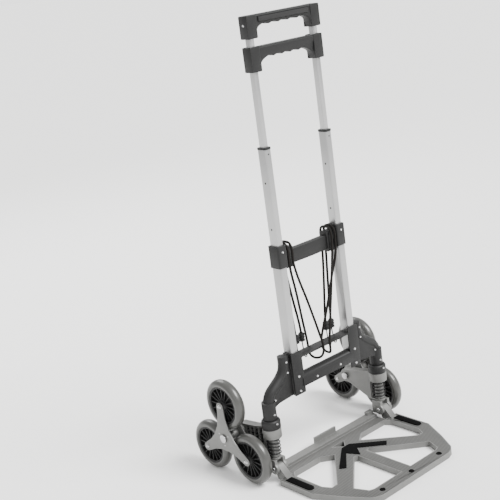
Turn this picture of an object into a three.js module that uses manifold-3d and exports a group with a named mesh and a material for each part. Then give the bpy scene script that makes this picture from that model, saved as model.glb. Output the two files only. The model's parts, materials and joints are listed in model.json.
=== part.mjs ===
// Folding, telescoping stair-climber hand truck. Millimetres, +Z up.
// +X is the right-hand side, the toe plate reaches towards -Y, and the origin lies on the floor
// under the middle of the toe plate's rear beam.
import * as THREE from 'three';
import { mergeVertices } from 'three/addons/utils/BufferGeometryUtils.js';
import Module from 'manifold-3d';

// ---- driving dimensions ----
const FIT = 0.3;                 // gap left between touching pieces
const UPRIGHT_X = 99;            // upright centre to the middle of the truck
const OUTER_TUBE = { x: 22, y: 30, wall: 1.3, bottom: 197, top: 566 };
const MIDDLE_TUBE = { x: OUTER_TUBE.x - 2 * (OUTER_TUBE.wall + FIT), y: OUTER_TUBE.y - 2 * (OUTER_TUBE.wall + FIT),
  wall: 1.2, overlap: 86, top: OUTER_TUBE.top + 232 };
const BUSH = { x: 1.2, y: 3.2 };                         // gap filled round the inner tube
const INNER_TUBE = { x: MIDDLE_TUBE.x - 2 * (MIDDLE_TUBE.wall + BUSH.x),
  y: MIDDLE_TUBE.y - 2 * (MIDDLE_TUBE.wall + BUSH.y), wall: 1.2, overlap: 84, top: MIDDLE_TUBE.top + 288 };
const COLLAR_RING = { proud: 1.2, above: 5, plug: 16 };

const BRACKET = { wall: 3, bottom: OUTER_TUBE.top - 51, top: OUTER_TUBE.top + 2 };  // crossbar clamp on a tube
const CROSSBAR = { bottom: OUTER_TUBE.top - 52, top: OUTER_TUBE.top - 18, thick: 16, bow: 5,
  back: OUTER_TUBE.y / 2 - 2 };
const notchOuter = UPRIGHT_X - OUTER_TUBE.x / 2 - BRACKET.wall + 1;
const NOTCH_BLOCK = { inner: notchOuter - 28, outer: notchOuter, bottom: OUTER_TUBE.top - 58,
  top: OUTER_TUBE.top - 9, front: -8, back: 16 };

const PLATE_MARGIN = 6;          // front plate beyond each side of its tube
const FRONT_PLATE = { outer: UPRIGHT_X + OUTER_TUBE.x / 2 + PLATE_MARGIN,
  inner: UPRIGHT_X - OUTER_TUBE.x / 2 - PLATE_MARGIN, bottom: 193, top: 300, thick: 3.4 };
const CHANNEL = { bottom: 209, shoulder: 228, top: 241, front: -OUTER_TUBE.y / 2 - 6.5, back: -2, wall: 3 };
const RAIL = { top: 287, lip: 268, front: -OUTER_TUBE.y / 2 - 3.5, back: OUTER_TUBE.y / 2 - 3, wall: 3 };

const STRUT_X = 191;             // wheel strut axis
const STRUT_TUBE = { r: 17, bore: 10.5, bottom: 142, boreTop: 178 };
const STRUT_COLLAR = { r: 23.5, bottom: STRUT_TUBE.bottom - 4, top: STRUT_TUBE.bottom + 18, floor: 3.5 };
const SHOULDER = { halfWidth: 14, halfDepth: 13, side: FRONT_PLATE.outer + 12, top: FRONT_PLATE.top - 1,
  webFront: -11, webBack: -4 };
const POST_R = 10;
const CLEVIS = { bottom: 19, top: 58, halfDepth: 15, slot: 9.5, cheek: 8 };
const PIN = { y: -8, z: 35, r: 4 };                      // toe plate hinge

const PLATE = { halfWidth: STRUT_X + 22, thick: 15, front: -278, rear: 24, rearTop: 22, tab: 27, tabHalf: 38, tabTop: 36,
  riser: STRUT_X - 41, riserTop: 30 };
const PLATE_NOTCH = { inner: STRUT_X - CLEVIS.slot - CLEVIS.cheek - 1.5, front: -30 };
const PLATE_LUG = { front: -44, r: 11 };
const PLATE_HOLE_R = 5;
const STRIP_THICK = 1.2;

const WHEEL_R = 63.5;
const WHEEL_GAP = 19;            // between neighbouring tyres
const CLUSTER_ARM = Math.round((10 * (2 * WHEEL_R + WHEEL_GAP)) / Math.sqrt(3)) / 10;
const CLUSTER_Y = 106.5;
const CLUSTER_Z = WHEEL_R + CLUSTER_ARM / 2;             // two wheels of each cluster on the floor
const SPIDER = { inner: STRUT_X + STRUT_COLLAR.r + 1, gap: 36, thick: 3, hubR: 24, endR: 11 };
const CLUSTER_HUB_R = 12;
const AXLE_R = 6;
const WHEEL_AXLE_R = 5;
const TYRE = { width: 27, depth: 15, crown: 11 };        // crown: from the side to the flat tread
const WHEEL_SIDES = 20;
const RIM_HUB = { r: 12, side: 2.5 };
const ARM = { inner: STRUT_X - 13, outer: STRUT_X + 7.5, ringR: STRUT_COLLAR.r - 0.5, ringTop: STRUT_COLLAR.bottom - 1,
  ringBottom: STRUT_COLLAR.bottom - 24, footTop: CLEVIS.top + 4, footBottom: CLEVIS.top + 2 * FIT, web: 4, bossR: 14,
  ribs: [44, 60, 75], ribHalf: 1.2 };
const SPRING = { coil: 14.9, wire: 1.8, turns: 5, bottom: ARM.footTop + 2, top: ARM.ringBottom - 2 };

const SLEEVE = { x: INNER_TUBE.x + 11, y: INNER_TUBE.y + 9 };  // handle sleeves on the inner tubes
const TOP_HANDLE = { bottom: INNER_TUBE.top - 39, top: INNER_TUBE.top + 12, grip: INNER_TUBE.top - 13, pocket: 78 };
const RELEASE_GRIP = { bottom: INNER_TUBE.top - 112.5, top: INNER_TUBE.top - 58, grip: INNER_TUBE.top - 85, travel: 14 };
const RELEASE_ROD_R = 3;
const RELEASE_PIN_R = 2.2;
const CORD_R = 3;

// ---- manifold helpers ----
const wasm = await Module();
wasm.setup();

function toSolid(geometry) {
  const bare = geometry.clone();
  bare.deleteAttribute('normal');
  bare.deleteAttribute('uv');
  const merged = mergeVertices(bare, 1e-4);
  return new wasm.Manifold(new wasm.Mesh({
    numProp: 3,
    vertProperties: new Float32Array(merged.attributes.position.array),
    triVerts: new Uint32Array(merged.index.array),
  }));
}

function toGeometry(solid) {
  const mesh = solid.getMesh();
  const geometry = new THREE.BufferGeometry();
  geometry.setAttribute('position', new THREE.BufferAttribute(new Float32Array(mesh.vertProperties), 3));
  geometry.setIndex(new THREE.BufferAttribute(new Uint32Array(mesh.triVerts), 1));
  geometry.computeVertexNormals();
  return geometry;
}

const join = (...solids) => solids.reduce((a, b) => a.add(b));
const cut = (solid, ...tools) => tools.reduce((a, b) => a.subtract(b), solid);

// Box from its lowest and highest corners.
function block(x0, x1, y0, y1, z0, z1) {
  const box = new THREE.BoxGeometry(x1 - x0, y1 - y0, z1 - z0);
  return toSolid(box.translate((x0 + x1) / 2, (y0 + y1) / 2, (z0 + z1) / 2));
}

// Round bar between two places along one axis, centred on the other two coordinates.
function bar(axis, from, to, a, b, radius, sides = 20) {
  const geometry = new THREE.CylinderGeometry(radius, radius, to - from, sides);
  const middle = (from + to) / 2;
  if (axis === 'x') geometry.rotateZ(Math.PI / 2).translate(middle, a, b);
  if (axis === 'y') geometry.translate(a, middle, b);
  if (axis === 'z') geometry.rotateX(Math.PI / 2).translate(a, b, middle);
  return toSolid(geometry);
}

// Shape drawn in X and Y, raised along Z.
function slab(shape, z0, z1, curveSegments = 6) {
  const geometry = new THREE.ExtrudeGeometry(shape, { depth: z1 - z0, bevelEnabled: false, curveSegments });
  return toSolid(geometry.translate(0, 0, z0));
}

// Shape drawn in X and Z, raised along Y, with its corners broken by a bevel.
function frontSlab(shape, y0, y1, bevel = 0, curveSegments = 6) {
  const geometry = new THREE.ExtrudeGeometry(shape, {
    depth: y1 - y0 - 2 * bevel, bevelEnabled: bevel > 0, bevelThickness: bevel, bevelSize: bevel,
    bevelOffset: -bevel, bevelSegments: 1, curveSegments,
  });
  return toSolid(geometry.translate(0, 0, bevel).rotateX(Math.PI / 2).translate(0, y1, 0));
}

// Shape drawn in Y and Z, raised along X.
function sideSlab(shape, x0, x1, curveSegments = 6) {
  const geometry = new THREE.ExtrudeGeometry(shape, { depth: x1 - x0, bevelEnabled: false, curveSegments });
  geometry.applyMatrix4(new THREE.Matrix4().set(0, 0, 1, x0, 1, 0, 0, 0, 0, 1, 0, 0, 0, 0, 0, 1));
  return toSolid(geometry);
}

const outline = (points) => new THREE.Shape(points.map(([a, b]) => new THREE.Vector2(a, b)));

function roundedRectangle(width, height, radius, x = 0, y = 0) {
  const shape = new THREE.Shape();
  const [w, h] = [width / 2, height / 2];
  shape.absarc(x + w - radius, y - h + radius, radius, -Math.PI / 2, 0, false);
  shape.absarc(x + w - radius, y + h - radius, radius, 0, Math.PI / 2, false);
  shape.absarc(x - w + radius, y + h - radius, radius, Math.PI / 2, Math.PI, false);
  shape.absarc(x - w + radius, y - h + radius, radius, Math.PI, 1.5 * Math.PI, false);
  return shape;
}

function sweep(points, radius, steps, sides, radiusY = radius) {
  const path = new THREE.CatmullRomCurve3(points.map((p) => new THREE.Vector3(...p)), false, 'centripetal');
  const section = new THREE.Shape();
  for (let i = 0; i < sides; i++) {
    const turn = (2 * Math.PI * (i + 0.5)) / sides;
    const [a, b] = [radius * Math.cos(turn), radiusY * Math.sin(turn)];
    if (i === 0) section.moveTo(a, b);
    else section.lineTo(a, b);
  }
  return toSolid(new THREE.ExtrudeGeometry(section, { steps, extrudePath: path, bevelEnabled: false }));
}

const mirrorX = (solid) => solid.mirror([1, 0, 0]);
// Solids are drawn for the right-hand side and mirrored for the left.
const forSide = (side, solid) => (side > 0 ? solid : mirrorX(solid));

// ---- materials ----
const material = (color, roughness, metalness) => new THREE.MeshStandardMaterial({ color, roughness, metalness });
const aluminium = material('#c4c4c0', 0.35, 0.9);
const castSilver = material('#9a9a96', 0.5, 0.5);
const steel = material('#b8b8b4', 0.3, 0.95);
const darkPaint = material('#4b4b4b', 0.5, 0.3);
const blackPlastic = material('#2c2b2a', 0.5, 0);
const softPlastic = material('#4a4846', 0.75, 0);
const tyreRubber = material('#7a7a75', 0.55, 0);
const blackRubber = material('#1c1b1a', 0.85, 0);
const cordFabric = material('#26211e', 0.85, 0);

const truck = new THREE.Group();
function place(name, solid, look) {
  const mesh = new THREE.Mesh(toGeometry(solid), look);
  mesh.name = name;
  truck.add(mesh);
}

// ---- tubes of the telescope ----
function tube(size, z0, z1) {
  const outer = slab(roundedRectangle(size.x, size.y, 4, UPRIGHT_X), z0, z1, 3);
  const inner = slab(roundedRectangle(size.x - 2 * size.wall, size.y - 2 * size.wall, 4 - size.wall, UPRIGHT_X),
    z0 - 1, z1 + 1, 3);
  return cut(outer, inner);
}

const plug = (size, gap, z0, z1) =>
  slab(roundedRectangle(size.x + 2 * gap, size.y + 2 * gap, 4 + gap, UPRIGHT_X), z0, z1, 3);

const middleBottom = OUTER_TUBE.top - MIDDLE_TUBE.overlap;
const innerBottom = MIDDLE_TUBE.top - INNER_TUBE.overlap;

function collarRing() {
  const cap = slab(roundedRectangle(MIDDLE_TUBE.x + 2 * COLLAR_RING.proud, MIDDLE_TUBE.y + 2 * COLLAR_RING.proud,
    4 + COLLAR_RING.proud, UPRIGHT_X), MIDDLE_TUBE.top + FIT, MIDDLE_TUBE.top + COLLAR_RING.above, 3);
  const bush = plug(MIDDLE_TUBE, -MIDDLE_TUBE.wall - FIT, MIDDLE_TUBE.top - COLLAR_RING.plug,
    MIDDLE_TUBE.top + COLLAR_RING.above - 1);
  const bore = plug(INNER_TUBE, FIT, MIDDLE_TUBE.top - COLLAR_RING.plug - 1,
    MIDDLE_TUBE.top + COLLAR_RING.above + 1);
  return cut(join(cap, bush), bore);
}

// ---- middle crossbar: two clamp brackets, a bowed bar and two cord notch blocks ----
function crossbar() {
  const inner = UPRIGHT_X - OUTER_TUBE.x / 2;
  const end = CROSSBAR.back;
  const shape = new THREE.Shape();
  shape.moveTo(-inner, end);
  shape.lineTo(-inner, end - CROSSBAR.thick + 3);
  shape.quadraticCurveTo(0, end - CROSSBAR.thick - 2 * CROSSBAR.bow, inner, end - CROSSBAR.thick + 3);
  shape.lineTo(inner, end);
  shape.quadraticCurveTo(0, end - CROSSBAR.bow, -inner, end);
  let solid = slab(shape, CROSSBAR.bottom, CROSSBAR.top, 10);
  for (const side of [1, -1]) {
    const clamp = slab(roundedRectangle(OUTER_TUBE.x + 2 * BRACKET.wall, OUTER_TUBE.y + 2 * BRACKET.wall, 5,
      UPRIGHT_X), BRACKET.bottom, BRACKET.top, 4);
    const notch = block(NOTCH_BLOCK.inner, NOTCH_BLOCK.outer, NOTCH_BLOCK.front, NOTCH_BLOCK.back,
      NOTCH_BLOCK.bottom, NOTCH_BLOCK.top);
    solid = join(solid, forSide(side, join(clamp, notch)));
  }
  for (const side of [1, -1]) {
    solid = cut(solid, forSide(side, plug(OUTER_TUBE, FIT, BRACKET.bottom - 1, BRACKET.top + 1)));
  }
  return solid;
}

// ---- lower cross frame: front plates with side flanges, channel bar and hook rail ----
function lowerFrame() {
  const front = -OUTER_TUBE.y / 2 - FIT;
  const flange = UPRIGHT_X + OUTER_TUBE.x / 2 + FIT;
  let solid = null;
  for (const side of [1, -1]) {
    const plate = block(FRONT_PLATE.inner, FRONT_PLATE.outer, front - FRONT_PLATE.thick, front,
      FRONT_PLATE.bottom, FRONT_PLATE.top);
    const wing = block(flange, FRONT_PLATE.outer - 2, front - 1, OUTER_TUBE.y / 2 - 2,
      FRONT_PLATE.bottom, FRONT_PLATE.top);
    const half = forSide(side, join(plate, wing));
    solid = solid ? join(solid, half) : half;
  }
  const reach = UPRIGHT_X - OUTER_TUBE.x / 2 - FIT;
  const c = CHANNEL;
  const w = c.wall;
  const profile = outline([[c.front, c.bottom], [c.front, c.shoulder], [c.front + 3, c.shoulder + 7],
    [c.front + 9, c.top - 1], [c.front + 13, c.top], [c.back, c.top], [c.back, c.top - w], [c.front + 14, c.top - w],
    [c.front + 7, c.shoulder + 6], [c.front + w, c.shoulder - 1], [c.front + w, c.bottom]].reverse());
  const channel = sideSlab(profile, -reach, reach);
  const rail = sideSlab(outline([[RAIL.front, RAIL.top - RAIL.wall], [RAIL.back - RAIL.wall, RAIL.top - RAIL.wall],
    [RAIL.back - RAIL.wall, RAIL.lip], [RAIL.back, RAIL.lip], [RAIL.back, RAIL.top], [RAIL.front, RAIL.top]]),
  -reach, reach);
  return join(solid, channel, rail);
}

// ---- shoulder: tube rim from the strut in to the upright, with a gusset web ----
function shoulder() {
  const s = SHOULDER;
  const across = (share) => s.side + share * (STRUT_X - s.side);
  const rim = sweep([[STRUT_X, 0, STRUT_TUBE.bottom + 40], [STRUT_X, 0, 200], [across(0.873), 0, 219],
    [across(0.587), 0, 233], [across(0.27), 0, 247], [across(0.063), 0, 263], [s.side, 0, 281], [s.side, 0, s.top]],
  s.halfWidth, 18, 12, s.halfDepth);
  const trimmed = cut(rim, block(0, FRONT_PLATE.outer - 2 + FIT, -40, 40, 150, 320));
  const leg = bar('z', STRUT_TUBE.bottom, 204, STRUT_X, 0, STRUT_TUBE.r, 20);
  const inner = FRONT_PLATE.outer + FIT;
  const web = new THREE.Shape();
  web.moveTo(inner, 196);
  web.lineTo(STRUT_X - 31, 193);
  web.quadraticCurveTo(STRUT_X - 15, 192, STRUT_X - 8, 182);
  web.lineTo(STRUT_X, 205);
  web.lineTo(across(0.587), 233);
  web.lineTo(s.side, 270);
  web.lineTo(s.side, 292);
  web.lineTo(inner, 292);
  const gusset = frontSlab(web, s.webFront, s.webBack);
  const bore = bar('z', STRUT_TUBE.bottom - 1, STRUT_TUBE.boreTop, STRUT_X, 0, STRUT_TUBE.bore, 20);
  return cut(join(trimmed, leg, gusset), bore);
}

function strutCollar() {
  const c = STRUT_COLLAR;
  const profile = [[POST_R + 0.5, c.bottom], [c.r, c.bottom], [c.r, c.top - 4], [c.r - 3, c.top],
    [STRUT_TUBE.r + FIT, c.top], [STRUT_TUBE.r + FIT, c.bottom + c.floor], [POST_R + 0.5, c.bottom + c.floor],
    [POST_R + 0.5, c.bottom]];
  const lathe = new THREE.LatheGeometry(profile.map(([r, z]) => new THREE.Vector2(r, z)), 20);
  return toSolid(lathe.rotateX(Math.PI / 2).translate(STRUT_X, 0, 0));
}

// Post with the clevis that holds the toe plate's hinge pin.
function strutFoot() {
  const outer = CLEVIS.slot + CLEVIS.cheek;
  const post = bar('z', CLEVIS.top - 2, STRUT_TUBE.boreTop - 6, STRUT_X, 0, POST_R, 20);
  const head = block(STRUT_X - outer, STRUT_X + outer, -CLEVIS.halfDepth, CLEVIS.halfDepth,
    CLEVIS.bottom + 4, CLEVIS.top);
  const nose = sideSlab(new THREE.Shape().absarc(PIN.y, PIN.z, 14, 0, 2 * Math.PI, false),
    STRUT_X - outer, STRUT_X + outer, 14);
  const slot = block(STRUT_X - CLEVIS.slot, STRUT_X + CLEVIS.slot, -60, 60, 0, PIN.z + PLATE_LUG.r + 6);
  const relief = block(STRUT_X - CLEVIS.slot, STRUT_X + CLEVIS.slot, -60, PIN.y + 1, 0, CLEVIS.top + 1);
  const hole = bar('x', STRUT_X - 40, STRUT_X + 40, PIN.y, PIN.z, PIN.r + FIT, 16);
  return cut(join(post, head, nose), slot, relief, hole);
}

function hingePin() {
  const outer = CLEVIS.slot + CLEVIS.cheek + FIT;
  const shank = bar('x', STRUT_X - outer - 3, STRUT_X + outer, PIN.y, PIN.z, PIN.r, 16);
  const head = bar('x', STRUT_X + outer, STRUT_X + outer + 2.6, PIN.y, PIN.z, PIN.r + 2.5, 16);
  const clip = bar('x', STRUT_X - outer - 3, STRUT_X - outer, PIN.y, PIN.z, PIN.r + 2, 16);
  return join(shank, head, clip);
}

function coil(x, y, radius, wire, turns, z0, z1, steps, sides) {
  class Helix extends THREE.Curve {
    getPoint(t) {
      const a = 2 * Math.PI * turns * t;
      return new THREE.Vector3(x + radius * Math.cos(a), y + radius * Math.sin(a),
        z0 + wire + (z1 - z0 - 2 * wire) * t);
    }
  }
  const section = new THREE.Shape();
  for (let i = 0; i < sides; i++) {
    const turn = (2 * Math.PI * i) / sides;
    const point = [wire * Math.cos(turn), wire * Math.sin(turn)];
    if (i === 0) section.moveTo(...point);
    else section.lineTo(...point);
  }
  return toSolid(new THREE.ExtrudeGeometry(section, { steps, extrudePath: new Helix(), bevelEnabled: false }));
}

// ---- toe plate ----
const sideWindow = [[176, -46], [164, -30], [76, -30], [46, -52], [148, -158], [165, -158], [176, -136]];
const frontWindow = [[17, -104], [26, -100], [138, -202], [124, -238], [112, -243], [17, -243]];
const rearWindow = [[-20, -20], [20, -20], [0, -44]];
const plateHoles = [[-103, -260], [0, -260], [103, -260]];

function toePlate() {
  const p = PLATE;
  const half = [[p.tabHalf, p.tab], [p.tabHalf + 4, p.rear], [p.halfWidth - 10, p.rear], [p.halfWidth, p.rear - 10],
    [p.halfWidth, -140], [180, -207], [148, -262], [136, -272], [118, p.front]];
  const shape = outline([...half, ...half.map(([x, y]) => [-x, y]).reverse()]);
  let solid = slab(shape, 0, p.thick);
  solid = join(solid, block(-PLATE_NOTCH.inner + 1, PLATE_NOTCH.inner - 1, 0, p.rear, 2, p.rearTop),
    block(-p.tabHalf, p.tabHalf, p.rear - 2, p.tab, 2, p.tabTop),
    ...[1, -1].map((side) => forSide(side, block(p.riser, PLATE_NOTCH.inner - 1, 12, p.rear, 2, p.riserTop))));
  const cuts = [];
  for (const side of [1, -1]) {
    for (const points of [sideWindow, frontWindow]) {
      const placed = points.map(([x, y]) => [side * x, y]);
      const shapeOfHole = outline(side > 0 ? placed : placed.reverse());
      cuts.push(slab(shapeOfHole, -1, p.thick + 1));
    }
    cuts.push(forSide(side, block(PLATE_NOTCH.inner, p.halfWidth + 1, PLATE_NOTCH.front, p.rear + 1, -1, 40)));
  }
  cuts.push(slab(outline(rearWindow), -1, p.thick + 1));
  for (const [x, y] of plateHoles) cuts.push(bar('z', -1, p.thick + 1, x, y, PLATE_HOLE_R, 12));
  solid = cut(solid, ...cuts);
  const lugShape = new THREE.Shape();
  lugShape.moveTo(PLATE_LUG.front, 1);
  lugShape.lineTo(PIN.y - 2, 6);
  lugShape.absarc(PIN.y, PIN.z, PLATE_LUG.r, -Math.PI / 3, Math.PI * 0.75, false);
  lugShape.lineTo(PLATE_LUG.front, p.thick);
  for (const side of [1, -1]) {
    const gap = 0.5;
    const lug = sideSlab(lugShape, STRUT_X - CLEVIS.slot + gap, STRUT_X + CLEVIS.slot - gap, 8);
    const hole = bar('x', STRUT_X - 40, STRUT_X + 40, PIN.y, PIN.z, PIN.r + FIT, 16);
    solid = cut(join(solid, forSide(side, lug)), forSide(side, hole));
  }
  return solid;
}

function gripPad(points) {
  return slab(outline(points), PLATE.thick + FIT, PLATE.thick + FIT + STRIP_THICK);
}

// ---- three-wheel cluster ----
const spiderOuterFace = SPIDER.inner + 2 * SPIDER.thick + SPIDER.gap;
const wheelMiddle = SPIDER.inner + SPIDER.thick + SPIDER.gap / 2;
const armAngles = [0, 1, 2].map((i) => Math.PI / 2 + (2 * Math.PI * i) / 3);
const wheelPlace = (angle) => [CLUSTER_Y + CLUSTER_ARM * Math.cos(angle), CLUSTER_Z + CLUSTER_ARM * Math.sin(angle)];

function spiderShape() {
  const shape = new THREE.Shape();
  armAngles.forEach((angle, i) => {
    const [y, z] = wheelPlace(angle);
    shape.absarc(y, z, SPIDER.endR, angle - Math.PI / 2, angle + Math.PI / 2, false);
    const next = armAngles[(i + 1) % 3];
    const between = angle + Math.PI / 3;
    const [ny, nz] = wheelPlace(next);
    const start = new THREE.Vector2(ny + SPIDER.endR * Math.cos(next - Math.PI / 2),
      nz + SPIDER.endR * Math.sin(next - Math.PI / 2));
    shape.quadraticCurveTo(CLUSTER_Y + SPIDER.hubR * 0.5 * Math.cos(between),
      CLUSTER_Z + SPIDER.hubR * 0.5 * Math.sin(between), start.x, start.y);
  });
  return shape;
}

function spiderPlate(from) {
  const plate = sideSlab(spiderShape(), from, from + SPIDER.thick, 5);
  return cut(plate, bar('x', from - 5, from + 10, CLUSTER_Y, CLUSTER_Z, AXLE_R + FIT, 16));
}

function innerSpider() {
  const from = SPIDER.inner + SPIDER.thick;
  const to = from + SPIDER.gap - FIT;
  const hub = bar('x', from - 1, to, CLUSTER_Y, CLUSTER_Z, CLUSTER_HUB_R, 20);
  const posts = armAngles.map((angle) => bar('x', from - 1, to, ...wheelPlace(angle), WHEEL_AXLE_R, 16));
  const bore = bar('x', from - 10, to + 10, CLUSTER_Y, CLUSTER_Z, AXLE_R + FIT, 16);
  return cut(join(spiderPlate(SPIDER.inner), hub, ...posts), bore);
}

// Profile points are (radius, distance along the axle from the wheel's middle).
function wheelPart(profile, angle) {
  const lathe = new THREE.LatheGeometry(profile.map(([r, a]) => new THREE.Vector2(r, a)), WHEEL_SIDES);
  return toSolid(lathe.rotateZ(-Math.PI / 2).translate(wheelMiddle, ...wheelPlace(angle)));
}

function tyre(angle) {
  const inner = WHEEL_R - TYRE.depth;
  const w = TYRE.width / 2;
  const flat = w - TYRE.crown;
  return wheelPart([[inner, -w + 2], [inner + 6, -w], [WHEEL_R - 4, -w + 6], [WHEEL_R, -flat],
    [WHEEL_R, flat], [WHEEL_R - 4, w - 6], [inner + 6, w], [inner, w - 2], [inner, -w + 2]], angle);
}

function rim(angle) {
  const outer = WHEEL_R - TYRE.depth - FIT;
  const w = TYRE.width / 2 - 2.5;
  const hub = SPIDER.gap / 2 - RIM_HUB.side;
  const bore = WHEEL_AXLE_R + FIT;
  return wheelPart([[bore, -hub], [RIM_HUB.r, -hub], [RIM_HUB.r, -6], [outer, -w], [outer, w], [RIM_HUB.r, 6],
    [RIM_HUB.r, hub], [bore, hub], [bore, -hub]], angle);
}

// Casting from the strut back to the cluster axle.
function wheelBracket() {
  const a = ARM;
  const shape = new THREE.Shape();
  shape.moveTo(0, a.footBottom);
  shape.lineTo(26, a.footBottom);
  shape.lineTo(92, CLUSTER_Z - 19);
  shape.absarc(CLUSTER_Y, CLUSTER_Z, 18, -Math.PI * 0.6, Math.PI * 0.5, false);
  shape.lineTo(60, a.ringTop - 8);
  shape.lineTo(24, a.ringTop);
  shape.lineTo(0, a.ringTop);
  const middle = (a.inner + a.outer) / 2;
  const arm = sideSlab(shape, a.inner, a.outer, 10);
  const clear = block(a.inner - 1, a.outer + 1, -30, 19, a.footTop, a.ringBottom);
  const hollow = sideSlab(outline([[28, a.footBottom + 5], [88, CLUSTER_Z - 14], [88, CLUSTER_Z + 16],
    [28, a.ringTop - 5]]), a.inner + a.web, a.outer + 1);
  const ribs = a.ribs.map((y) => block(a.inner + 3, a.outer, y - a.ribHalf, y + a.ribHalf, a.footBottom, a.ringTop)
    .intersect(arm));
  const topRing = bar('z', a.ringBottom, a.ringTop, STRUT_X, 0, a.ringR, 28);
  const lowRing = bar('z', a.footBottom, a.footTop, STRUT_X, 0, POST_R + 4.5, 20);
  const boss = bar('x', a.inner, SPIDER.inner - FIT, CLUSTER_Y, CLUSTER_Z, a.bossR, 20);
  const bore = bar('z', a.footBottom - 1, a.ringTop + 1, STRUT_X, 0, POST_R + FIT, 20);
  const web = cut(arm, clear, hollow);
  const axleBore = bar('x', a.inner - 5, SPIDER.inner + 5, CLUSTER_Y, CLUSTER_Z, AXLE_R + FIT, 16);
  const rear = block(middle - 7, middle + 4, 17, 30, a.footBottom, a.ringTop).intersect(arm);
  return cut(join(web, ...ribs, rear, topRing, lowRing, boss), bore, axleBore);
}

function clusterAxle() {
  const outer = spiderOuterFace + FIT;
  const shaft = bar('x', ARM.inner - FIT, outer, CLUSTER_Y, CLUSTER_Z, AXLE_R, 16);
  const head = bar('x', outer, outer + 4, CLUSTER_Y, CLUSTER_Z, AXLE_R + 4.5, 16);
  const nut = bar('x', ARM.inner - 6, ARM.inner - FIT, CLUSTER_Y, CLUSTER_Z, AXLE_R + 4, 6);
  return join(shaft, head, nut);
}

// ---- handles ----
// Grip outline in X and Z: two sleeves and a bar whose underside has five finger grooves.
function gripShape(low, high, under, flare) {
  const outer = UPRIGHT_X + SLEEVE.x / 2;
  const inner = UPRIGHT_X - SLEEVE.x / 2;
  const shape = new THREE.Shape();
  shape.moveTo(outer, low);
  shape.lineTo(outer, high - 10);
  shape.quadraticCurveTo(outer, high, outer - 11, high);
  shape.lineTo(-outer + 11, high);
  shape.quadraticCurveTo(-outer, high, -outer, high - 10);
  shape.lineTo(-outer, low);
  shape.lineTo(-inner, low);
  shape.quadraticCurveTo(-inner + 2, under - flare * 0.3, -inner + flare, under);
  const grooves = 5;
  const start = -inner + flare;
  const pitch = (-2 * start) / grooves;
  for (let i = 0; i < grooves; i++) {
    shape.quadraticCurveTo(start + pitch * (i + 0.5), under + 6, start + pitch * (i + 1), under);
  }
  shape.quadraticCurveTo(inner - 2, under - flare * 0.3, inner, low);
  return shape;
}

function topHandle() {
  const t = TOP_HANDLE;
  const body = frontSlab(gripShape(t.bottom, t.top, t.grip, 14), -SLEEVE.y / 2, SLEEVE.y / 2, 3, 4);
  const sockets = [1, -1].map((side) => forSide(side, plug(INNER_TUBE, FIT, t.bottom - 1, INNER_TUBE.top + FIT)));
  const pocket = block(-t.pocket, t.pocket, -SLEEVE.y / 2 - 1, -SLEEVE.y / 2 + 2, t.grip + 8, t.top - 5);
  return cut(body, ...sockets, pocket);
}

function softGrip() {
  const t = TOP_HANDLE;
  return block(-t.pocket + FIT, t.pocket - FIT, -SLEEVE.y / 2 - 0.8, -SLEEVE.y / 2 + 2 - FIT, t.grip + 8 + FIT,
    t.top - 5 - FIT);
}

const pinSlotMiddle = (RELEASE_GRIP.bottom + RELEASE_GRIP.top) / 2;

function releaseGrip() {
  const r = RELEASE_GRIP;
  const body = frontSlab(gripShape(r.bottom, r.top, r.grip, 22), -SLEEVE.y / 2, SLEEVE.y / 2, 3, 4);
  const bores = [1, -1].flatMap((side) => [forSide(side, plug(INNER_TUBE, FIT, r.bottom - 1, r.top + 1)),
    forSide(side, bar('y', -SLEEVE.y / 2 + 1.5, SLEEVE.y / 2 - 1.5, UPRIGHT_X, pinSlotMiddle, RELEASE_PIN_R + FIT,
      12))]);
  return cut(body, ...bores);
}

function innerTube() {
  const slot = block(UPRIGHT_X - RELEASE_PIN_R - 1, UPRIGHT_X + RELEASE_PIN_R + 1, -20, 20,
    pinSlotMiddle - RELEASE_PIN_R - 2, pinSlotMiddle + RELEASE_PIN_R + RELEASE_GRIP.travel + 2);
  return cut(tube(INNER_TUBE, innerBottom, INNER_TUBE.top), slot);
}

function releaseRod() {
  const rod = bar('z', innerBottom + 10, pinSlotMiddle + 12, UPRIGHT_X, 0, RELEASE_ROD_R, 12);
  const half = SLEEVE.y / 2 - 2;
  return join(rod, bar('y', -half, half, UPRIGHT_X, pinSlotMiddle, RELEASE_PIN_R, 12));
}

// ---- elastic cords ----
const knobTop = 326;
const cordRoute = [
  [62, 17, knobTop], [64, 17.5, 360], [70, 19, 430], [77, 21, 500], [79, 21.5, 530], [79, 22, 554], [79, 17, 565],
  [79, 4, 568], [79, -9, 565], [79, -14, 554], [79, -13.5, 530], [78, -13, 508], [62, -5, 443], [42, 7, 358],
  [28, 16, 305], [24, 18.5, 284], [23, 18.5, 266], [22, 9, 257], [20, -6, 256], [15, -17.5, 262], [12, -22, 274],
  [11.5, -22.8, 290], [18, -22, 320], [40, -18.5, 410], [62, -14, 495], [66, -13.5, 520], [67, -14, 554],
  [67, -9, 565], [67, 4, 568], [67, 17, 565], [67, 22, 554], [67, 21.5, 530], [65, 21, 500], [55, 19, 420],
  [45, 17.3, 350], [43, 17, knobTop],
];

const cordEndPlaces = [{ name: 'outer', x: 62, y: 17 }, { name: 'inner', x: 43, y: 17 }];

// Knob that grips the cord's end, with the wire hook that grips the rail's lip.
function cordEnd(x, y) {
  const knob = bar('z', knobTop - 22, knobTop - FIT, x, y, 6.3, 10);
  const lip = RAIL.back - RAIL.wall / 2;
  const wire = sweep([[x, y, knobTop - 20], [x, y, 296], [x, lip + 5, 282], [x, lip + 4.4, RAIL.lip - 1],
    [x, lip, RAIL.lip - 4.5], [x, lip - 4.4, RAIL.lip - 1], [x, lip - 4.6, 275]], 1.6, 12, 6);
  return join(knob, wire);
}

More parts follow.
